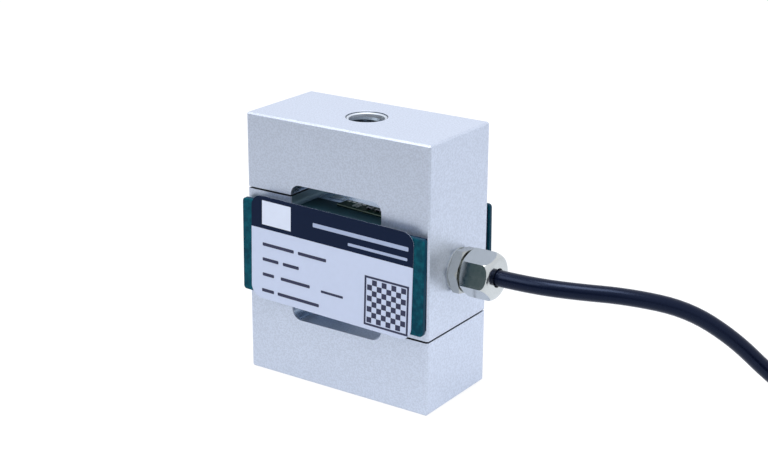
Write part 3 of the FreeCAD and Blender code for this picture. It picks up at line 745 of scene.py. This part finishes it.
class LOADCELL_OT_element(bpy.types.Operator):
    """Finish the element and cut its threads"""

    bl_idname = "loadcell.element"
    bl_label = "Element"

    STEPS_PER_TURN = 40
    # how far the ridge starts inside the metal, in millimetres
    RIDGE_ROOT = 0.02
    # half the width of the ridge as a share of the pitch, and of the crest as a share of that
    RIDGE_SHARE = 0.45
    CREST_SHARE = 0.15

    def execute(self, context):
        give_finish(["elastic_element"], blasted_aluminium())
        metal = cut_aluminium()
        thread = context.scene.load_cell_thread
        self.thread_turns("lower_thread_turns", ELEMENT_LOW.z + thread.mouth, thread, metal)
        top = ELEMENT_HIGH.z - thread.mouth - thread.depth
        self.thread_turns("upper_thread_turns", top, thread, metal)
        return {"FINISHED"}

    def thread_turns(self, name, start, thread, metal):
        """A triangular ridge, turned and raised one pitch a turn along the hole's wall."""
        turns = (thread.depth - thread.pitch) / thread.pitch
        bm = bmesh.new()
        wall = thread.core_radius + self.RIDGE_ROOT * MM
        crest = thread.core_radius - thread.crest_height
        half = thread.pitch * self.RIDGE_SHARE
        crest_half = half * self.CREST_SHARE
        middle = start + thread.pitch / 2
        corners = [
            bm.verts.new((wall, 0, middle - half)),
            bm.verts.new((crest, 0, middle - crest_half)),
            bm.verts.new((crest, 0, middle + crest_half)),
            bm.verts.new((wall, 0, middle + half)),
        ]
        bm.faces.new(corners)
        steps = int(turns * self.STEPS_PER_TURN)
        bmesh.ops.spin(
            bm,
            geom=bm.verts[:] + bm.edges[:] + bm.faces[:],
            cent=(0, 0, 0),
            axis=(0, 0, 1),
            dvec=(0, 0, thread.pitch / self.STEPS_PER_TURN),
            angle=2 * math.pi * steps / self.STEPS_PER_TURN,
            steps=steps,
            use_duplicate=False,
        )
        bmesh.ops.remove_doubles(bm, verts=bm.verts, dist=0.001 * MM)
        bmesh.ops.recalc_face_normals(bm, faces=bm.faces)
        new_piece(name, bm, [metal])


class LOADCELL_OT_covers(bpy.types.Operator):
    """Finish the cover plates and their foam strips"""

    bl_idname = "loadcell.covers"
    bl_label = "Covers"

    def execute(self, context):
        give_finish(["front_cover_plate", "rear_cover_plate"], glass_epoxy())
        pads = nodes_starting("front_foam_pad") + nodes_starting("rear_foam_pad")
        give_finish(pads, foam())
        return {"FINISHED"}


class LOADCELL_OT_label(bpy.types.Operator):
    """Finish the label film and print plain fields on it"""

    bl_idname = "loadcell.label"
    bl_label = "Label"

    # places of the inks in the print's list of materials
    HEADER_INK, WHITE_INK, LIGHT_INK, DARK_INK = range(4)

    # All the places below are in millimetres from the label's middle.
    # the pale square in the band: its middle and its extent
    SQUARE_MIDDLE = (-15.35, 8.83)
    SQUARE_EXTENT = (8.4, 5.9)
    # bars that stand for lines of print: left, right, middle height and bar height
    LIGHT_BARS = [(-4.8, 21.4, 8.9, 1.0), (5.1, 21.2, 6.45, 0.7)]
    DARK_BARS = [
        (-19.4, -10.2, 1.0, 0.8),
        (-9.0, -0.9, 1.0, 0.8),
        (-19.4, -14.7, -2.75, 0.8),
        (-13.4, -8.7, -2.75, 0.8),
        (-19.4, -16.0, -6.55, 0.8),
        (-14.0, -5.5, -6.55, 0.8),
        (-2.3, 4.0, -6.85, 0.6),
        (-19.6, -16.0, -10.6, 0.8),
        (-14.9, -2.8, -10.6, 0.8),
    ]
    BAR_CORNER = 0.2
    # the grid of squares: its middle, the side and line width of its frame, and its rows
    GRID_MIDDLE = (15.9, -5.8)
    GRID_SIDE = 12.0
    GRID_LINE = 0.5
    GRID_ROWS = 8
    # how far the band reaches past the film's edges, and down them as a share of the film
    WRAP = 0.01
    WRAP_SHARE = 0.6

    def execute(self, context):
        sizes = context.scene.load_cell_label
        colours = context.scene.load_cell_colours
        give_finish(["label"], satin_film("polyester_film", colours.film))
        inks = [
            satin_film("header_ink", colours.header_ink, 0.35, 0.1),
            satin_film("white_ink", linear("#D2D9E9"), 0.45),
            satin_film("light_ink", linear("#9FABC6"), 0.45),
            satin_film("dark_ink", colours.dark_ink, 0.45),
        ]
        bm = bmesh.new()
        self.header(bm, sizes)
        middle = millimetres(self.SQUARE_MIDDLE)
        self.field(bm, sizes, middle, millimetres(self.SQUARE_EXTENT), self.WHITE_INK)
        for bars, ink in ((self.LIGHT_BARS, self.LIGHT_INK), (self.DARK_BARS, self.DARK_INK)):
            for left, right, height, thickness in bars:
                middle = millimetres(((left + right) / 2, height))
                extent = millimetres((right - left, thickness))
                self.field(bm, sizes, middle, extent, ink, self.BAR_CORNER * MM)
        self.grid_of_squares(bm, sizes)
        new_piece("label_print", bm, inks)
        return {"FINISHED"}

    def place(self, sizes, centre, layer):
        """From a slab lying flat to its place on the label's face, facing the front."""
        front = LABEL_LOW.y - layer * sizes.ink
        return (
            Matrix.Translation((LABEL_CENTRE.x, front, LABEL_CENTRE.z))
            @ Matrix.Rotation(sizes.tilt, 4, "Y")
            @ Matrix.Rotation(math.pi / 2, 4, "X")
            @ Matrix.Translation((*centre, 0))
        )

    def field(self, bm, sizes, centre, extent, ink, corner=0.0):
        """A printed field, one layer of ink above the band."""
        part = slab(*extent, sizes.ink, corner)
        merge(bm, part, self.place(sizes, centre, 1), ink)

    def header(self, bm, sizes):
        """The dark band: the label's own outline, cut off level below and lapped over the edge."""
        wrap = self.WRAP * MM
        film = LABEL_THICKNESS * self.WRAP_SHARE
        part = slab(
            sizes.width + 2 * wrap, sizes.height + 2 * wrap, film + sizes.ink, sizes.corner
        )
        bmesh.ops.translate(part, vec=(0, 0, -film), verts=part.verts)
        cut = sizes.height / 2 - sizes.header
        bmesh.ops.bisect_plane(
            part,
            geom=part.verts[:] + part.edges[:] + part.faces[:],
            plane_co=(0, cut, 0),
            plane_no=(0, -1, 0),
            clear_outer=True,
        )
        bmesh.ops.holes_fill(part, edges=part.edges)
        merge(bm, part, self.place(sizes, (0, 0), 0), self.HEADER_INK)

    def grid_of_squares(self, bm, sizes):
        """A frame with an even grid of squares in it."""
        centre = Vector(self.GRID_MIDDLE) * MM
        side = self.GRID_SIDE * MM
        line = self.GRID_LINE * MM
        for across in (-1, 1):
            offset = Vector((across * (side - line) / 2, 0))
            self.field(bm, sizes, centre + offset, (line, side), self.DARK_INK)
            offset = Vector((0, across * (side - line) / 2))
            self.field(bm, sizes, centre + offset, (side - 2 * line, line), self.DARK_INK)
        count = self.GRID_ROWS
        pitch = (side - 3 * line) / count
        for row in range(count):
            for column in range(count):
                if (row + column) % 2:
                    continue
                offset = Vector((column - (count - 1) / 2, row - (count - 1) / 2)) * pitch
                self.field(bm, sizes, centre + offset, (pitch, pitch), self.DARK_INK)


class LOADCELL_OT_wiring(bpy.types.Operator):
    """Finish the gauges, the terminal board and the cores, and add foils, solder and caps"""

    bl_idname = "loadcell.wiring"
    bl_label = "Wiring"

    # All the sizes below are in millimetres.
    # a gauge's foil: lines side by side, joined at their ends in turn, and two solder tabs
    FOIL_THICKNESS = 0.01
    LINES = 8
    LINE_LENGTH = 2.7
    LINE_WIDTH = 0.12
    LINE_PITCH = 0.26
    LINES_SHIFT = 0.7
    JOIN_SIZE = (0.14, 0.38)
    TAB_SIZE = (0.9, 0.8)
    TAB_PLACE = (1.6, 0.7)
    TAB_CORNER = 0.1
    # the solder on the board: a low dome at each core, and a row of tinned pads
    DOME_RADIUS = 0.46
    DOME_SQUASH = 0.7
    CORE_RADIUS = 0.4
    PADS = 4
    PAD_SIZE = (1.1, 0.8, 0.03)
    PAD_CORNER = 0.15
    PAD_START = (-5.9, 1.3)
    PAD_PITCH = 1.5
    # the caps of a resistor: length, width, how far they stand out above it, and place
    CAP_SIZE = (0.36, 0.86)
    CAP_RISE = 0.03
    CAP_CORNER = 0.04
    CAP_PLACE = 0.66
    # length of the tinned tip that each core ends in
    TIP_LENGTH = 5.02
    CORE_COLOURS = {"red": "#B3202A", "black": "#141417", "green": "#17703E", "white": "#E2E2DC"}

    def execute(self, context):
        metal = solder()
        give_finish(nodes_starting("strain_gauge"), gauge_film())
        give_finish(["terminal_board"], board_laminate())
        ceramic = soft_plastic("glazed_ceramic", linear("#17171A"), 0.2, 0.3 * MM)
        give_finish(nodes_starting("trim_resistor"), ceramic)
        self.gauge_foils()
        self.board_solder(metal)
        self.resistor_caps(metal)
        self.cores(context)
        return {"FINISHED"}

    def gauge_foils(self):
        """The folded foil of each gauge and its two solder tabs."""
        foil = constantan_foil()
        thickness = self.FOIL_THICKNESS * MM
        for name in nodes_starting("strain_gauge"):
            low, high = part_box(name)
            above = low.z > ELEMENT_CENTRE.z
            height = high.z if above else low.z - thickness
            middle = (low + high) / 2
            bm = bmesh.new()
            for row in range(self.LINES):
                y = middle.y + (row - (self.LINES - 1) / 2) * self.LINE_PITCH * MM
                part = slab(self.LINE_LENGTH * MM, self.LINE_WIDTH * MM, thickness)
                x = middle.x - self.LINES_SHIFT * MM
                merge(bm, part, Matrix.Translation((x, y, height)))
                if row < self.LINES - 1:
                    end = self.LINE_LENGTH / 2 * (1 if row % 2 else -1)
                    part = slab(*millimetres(self.JOIN_SIZE), thickness)
                    x = middle.x - (self.LINES_SHIFT - end) * MM
                    y += self.LINE_PITCH / 2 * MM
                    merge(bm, part, Matrix.Translation((x, y, height)))
            along, beside = self.TAB_PLACE
            for side in (-1, 1):
                part = slab(*millimetres(self.TAB_SIZE), thickness, self.TAB_CORNER * MM)
                place = (middle.x + along * MM, middle.y + side * beside * MM, height)
                merge(bm, part, Matrix.Translation(place))
            new_piece(name.replace("strain_gauge", "gauge_foil"), bm, [foil])

    def board_solder(self, metal):
        """A low dome of solder at each core, and tinned pads along the board."""
        bm = bmesh.new()
        top = BOARD_HIGH.z
        core_radius = self.CORE_RADIUS * MM
        for colour in self.CORE_COLOURS:
            low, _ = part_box(f"core_{colour}")
            part = bmesh.new()
            bmesh.ops.create_uvsphere(
                part, u_segments=16, v_segments=8, radius=self.DOME_RADIUS * MM
            )
            bmesh.ops.scale(part, vec=(1, 1, self.DOME_SQUASH), verts=part.verts)
            place = Matrix.Translation((low.x + core_radius, low.y + core_radius, top))
            merge(bm, part, place)
        turn = Matrix.Rotation(-BOARD_TURN, 4, "Z")
        place = Matrix.Translation((BOARD_CENTRE.x, BOARD_CENTRE.y, top)) @ turn
        start, beside = self.PAD_START
        for i in range(self.PADS):
            part = slab(*millimetres(self.PAD_SIZE), self.PAD_CORNER * MM)
            along = (start + i * self.PAD_PITCH) * MM
            merge(bm, part, place @ Matrix.Translation((along, beside * MM, 0)))
        piece = new_piece("board_solder", bm, [metal])
        shade_smooth(piece)

    def resistor_caps(self, metal):
        """Tinned caps on both ends of each trim resistor."""
        bm = bmesh.new()
        turn = Matrix.Rotation(-BOARD_TURN, 4, "Z")
        length, width = millimetres(self.CAP_SIZE)
        for name in nodes_starting("trim_resistor"):
            low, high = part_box(name)
            middle = (low + high) / 2
            for side in (-1, 1):
                height = high.z - low.z + self.CAP_RISE * MM
                part = slab(length, width, height, self.CAP_CORNER * MM)
                offset = Matrix.Translation((side * self.CAP_PLACE * MM, 0, 0))
                place = Matrix.Translation((middle.x, middle.y, low.z)) @ turn @ offset
                merge(bm, part, place)
        new_piece("resistor_caps", bm, [metal])

    def cores(self, context):
        """Insulation on the cores, bare tips at the cable's far end, and its drain and sleeve."""
        sleeve_low, sleeve_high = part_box("cable_end_sleeve")
        start = (sleeve_low + sleeve_high) / 2
        for colour, code in self.CORE_COLOURS.items():
            give_finish([f"core_{colour}"], insulation(f"{colour}_insulation", code))
            name = f"core_end_{colour}"
            tip = far_end(name, start)
            tinned = f"{colour}_insulation_tinned_tip"
            give_finish([name], insulated_core(tinned, code, tip, self.TIP_LENGTH * MM))
        give_finish(["core_end_drain"], tinned_wire())
        sleeve = soft_plastic("heat_shrink", linear("#0E0E12"), 0.45, 0.8 * MM)
        give_finish(["cable_end_sleeve"], sleeve)
        jacket = context.scene.load_cell_colours.jacket
        inside = soft_plastic("cable_jacket_inside", jacket, 0.36, 0.6 * MM)
        give_finish(["cable_in_gland"], inside)


def far_end(name, start):
    """The middle of the end face of a core that lies furthest from a point."""
    face_depth = 0.25 * MM
    spots = [vertex.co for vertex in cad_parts[name].data.vertices]
    furthest = max((spot - start).length for spot in spots)
    last = [spot for spot in spots if (spot - start).length > furthest - face_depth]
    return sum(last, Vector()) / len(last)


class LOADCELL_OT_gland(bpy.types.Operator):
    """Finish the gland's metal and rubber"""

    bl_idname = "loadcell.gland"
    bl_label = "Gland"

    # the body's plating is painted darker, to this share of the nut's, as painted shade of its
    # dark facets
    BODY_SHADE_SHARE = 0.72

    def execute(self, context):
        colours = context.scene.load_cell_colours
        give_finish(["gland_cap_nut"], nickel_plate("nickel_plated_nut", colours.nickel))
        # painted shade: the body is painted darker than the nut
        shaded_nickel = [channel * self.BODY_SHADE_SHARE for channel in colours.nickel]
        give_finish(["gland_body"], nickel_plate("nickel_plated_body_painted_shade", shaded_nickel))
        washer = soft_plastic("moulded_grey_rubber", linear("#8F9496"), 0.6, 0.4 * MM)
        give_finish(["gland_washer"], washer)
        seal = soft_plastic("moulded_rubber", linear("#05070C"), 0.5, 0.4 * MM, 0.1)
        give_finish(["gland_seal"], seal)
        return {"FINISHED"}


class LOADCELL_OT_stage(bpy.types.Operator):
    """Set up the floor, the lamps, the world and the camera"""

    bl_idname = "loadcell.stage"
    bl_label = "Stage"

    FLOOR_SIDE = 6.0
    # how the paper's painted glow changes with depth: from and to a place, from and to a strength
    NEAR_GLOW = (-180 * MM, 20 * MM, 0.45, 0.74)
    FAR_GLOW = (-600 * MM, -210 * MM, 0.1, 1.0)
    # the middle of a painted pool of light on the paper, standing in for a bounce card, and how it
    # fades
    PAINTED_POOL_MIDDLE = (60 * MM, 30 * MM, 0)
    PAINTED_POOL_GLOW = (15 * MM, 85 * MM, 0.14, 0.0)
    # the direction of the studio's bright side, and how it darkens away from it
    BRIGHT_SIDE = (0.2, 0.75, 0.63)
    ROOM_GLOW = (-0.75, 0.35, 0.03, 1.0)
    # the side of each square lamp, and its place from the middle of the cell, in metres
    KEY_LAMP = (0.5, (0.14, -0.16, 0.88))
    FILL_LAMP = (0.6, (-0.3, -0.65, 0.65))
    # what the camera looks at, in millimetres from the middle of the cell
    LOOK_AT = (-2.96, 11.56, 0.52)

    def execute(self, context):
        stage = context.scene.load_cell_stage
        self.floor()
        self.world(context)
        self.lamp(context, "key", stage.key_power, *self.KEY_LAMP)
        self.lamp(context, "fill", stage.fill_power, *self.FILL_LAMP)
        self.camera(context, stage)
        context.scene.view_settings.view_transform = "Standard"
        return {"FINISHED"}

    def floor(self):
        bm = bmesh.new()
        bmesh.ops.create_grid(bm, x_segments=1, y_segments=1, size=self.FLOOR_SIDE / 2)
        floor = new_object("floor", bm, [self.white_paper()])

    def white_paper(self):
        """White paper, burnt out to white for the eye.

        In reflections it is a painted glow: cool, dimmer before the cell and dark far in front, so
        the cell's front is its darker side. A painted pool of light, standing in for a bounce
        card, brightens it to the right of the cell.
        """
        material, tree, shader, place = start_material(
            "white_paper", Base_Color=(0.8, 0.8, 0.8, 1.0), Roughness=0.9
        )
        _, depth, _ = split(tree, place)
        near = ramp(tree, depth, *self.NEAR_GLOW, "SMOOTHSTEP")
        far = ramp(tree, depth, *self.FAR_GLOW, "SMOOTHSTEP")
        away = vectored(tree, "DISTANCE", place, self.PAINTED_POOL_MIDDLE)
        bounce = ramp(tree, away, *self.PAINTED_POOL_GLOW, "SMOOTHSTEP")
        # painted light: the pool is added to the paper's painted glow in reflections
        level = computed(tree, "ADD", computed(tree, "MULTIPLY", near, far), bounce)
        seen = add_node(tree, "ShaderNodeLightPath").outputs["Is Camera Ray"]
        white = (0.84, 0.84, 0.84, 1)
        cool = (0.79, 0.84, 0.94, 1)
        glow = add_node(
            tree,
            "ShaderNodeEmission",
            {
                "Color": mixed(tree, seen, cool, white),
                "Strength": computed(tree, "MAXIMUM", seen, level),
            },
        )
        dull = add_node(tree, "ShaderNodeBsdfDiffuse", {"Color": (0.2, 0.2, 0.2, 1)})
        shown = add_node(tree, "ShaderNodeAddShader", {0: glow.outputs[0], 1: dull.outputs[0]})
        seen = seen_directly(tree)
        switch_when_seen(tree, shader, shown, tree.nodes["Material Output"], seen)
        return material

    def world(self, context):
        """A pale studio: white overhead and behind the cell, and dark low down before it."""
        world = bpy.data.worlds.new("studio")
        context.scene.world = world
        world.use_nodes = True
        tree = world.node_tree
        backdrop = tree.nodes["Background"]
        backdrop.inputs["Color"].default_value = (1, 1, 1, 1)
        direction = add_node(tree, "ShaderNodeTexCoord").outputs["Generated"]
        facing = vectored(tree, "DOT_PRODUCT", direction, self.BRIGHT_SIDE)
        level = ramp(tree, facing, *self.ROOM_GLOW, "SMOOTHSTEP")
        walls = mixed(tree, level, opaque(linear("#1E3F46")), opaque(linear("#EEF2FB")))
        room = add_node(tree, "ShaderNodeBackground", {"Color": walls})
        seen = seen_directly(tree, glossy=False)
        switch_when_seen(tree, room, backdrop, tree.nodes["World Output"], seen)

    def lamp(self, context, name, power, side, offset):
        """A square soft lamp that looks at the middle of the cell."""
        light = bpy.data.lights.new(name, "AREA")
        light.energy = power
        light.size = side
        lamp = bpy.data.objects.new(name, light)
        lamp.location = ELEMENT_CENTRE + Vector(offset)
        lamp.rotation_euler = Vector(offset).to_track_quat("Z", "Y").to_euler()
        context.scene.collection.objects.link(lamp)

    def camera(self, context, stage):
        """A camera on the given side of the cell, looking a little past its middle."""
        target = ELEMENT_CENTRE + Vector(self.LOOK_AT) * MM
        turn = (
            Matrix.Rotation(stage.azimuth, 4, "Z")
            @ Matrix.Rotation(math.pi / 2 - stage.elevation, 4, "X")
            @ Matrix.Rotation(stage.roll, 4, "Z")
        )
        back_off = Matrix.Translation((0, 0, stage.distance))
        data = bpy.data.cameras.new("camera")
        data.lens = stage.lens
        data.sensor_width = 36.0
        data.clip_start = 0.01
        camera = bpy.data.objects.new("camera", data)
        camera.matrix_world = Matrix.Translation(target) @ turn @ back_off
        context.scene.collection.objects.link(camera)
        context.scene.camera = camera


def seen_directly(tree, glossy=True):
    """1 for what the eye, a reflection or a clear piece sees, and 0 for what only lights."""
    rays = add_node(tree, "ShaderNodeLightPath")
    total = rays.outputs["Is Camera Ray"]
    for name in ["Is Transmission Ray"] + (["Is Glossy Ray"] if glossy else []):
        total = computed(tree, "MAXIMUM", total, rays.outputs[name])
    return total


def switch_when_seen(tree, lighting, shown, output, seen):
    """One shader for what only lights, and another for what is seen."""
    inputs = {0: seen, 1: lighting.outputs[0], 2: shown.outputs[0]}
    mix = add_node(tree, "ShaderNodeMixShader", inputs)
    link(tree, mix.outputs[0], output, "Surface")


class LOADCELL_PT_panel(bpy.types.Panel):
    """Steps that dress the load cell, in order"""

    bl_label = "Load Cell"
    bl_idname = "LOADCELL_PT_panel"
    bl_space_type = "VIEW_3D"
    bl_region_type = "UI"
    bl_category = "Load Cell"

    def draw(self, context):
        for step in STEPS:
            self.layout.operator(step.bl_idname)
        for name in GROUPS:
            box = self.layout.box()
            group = getattr(context.scene, name)
            for key in group.__annotations__:
                box.prop(group, key)


STEPS = (
    LOADCELL_OT_stage,
    LOADCELL_OT_cable,
    LOADCELL_OT_element,
    LOADCELL_OT_covers,
    LOADCELL_OT_label,
    LOADCELL_OT_wiring,
    LOADCELL_OT_gland,
)
GROUPS = {
    "load_cell_cable": LoadCellCable,
    "load_cell_thread": LoadCellThread,
    "load_cell_label": LoadCellLabel,
    "load_cell_colours": LoadCellColours,
    "load_cell_stage": LoadCellStage,
}


def register():
    for group in GROUPS.values():
        bpy.utils.register_class(group)
    for name, group in GROUPS.items():
        setattr(bpy.types.Scene, name, PointerProperty(type=group))
    for step in STEPS:
        bpy.utils.register_class(step)
    bpy.utils.register_class(LOADCELL_PT_panel)


def unregister():
    bpy.utils.unregister_class(LOADCELL_PT_panel)
    for step in reversed(STEPS):
        bpy.utils.unregister_class(step)
    for name in GROUPS:
        delattr(bpy.types.Scene, name)
    for group in reversed(list(GROUPS.values())):
        bpy.utils.unregister_class(group)


def main():
    register()
    bpy.ops.loadcell.stage()
    bpy.ops.loadcell.cable()
    bpy.ops.loadcell.element()
    bpy.ops.loadcell.covers()
    bpy.ops.loadcell.label()
    bpy.ops.loadcell.wiring()
    bpy.ops.loadcell.gland()


if __name__ == "__main__":
    main()
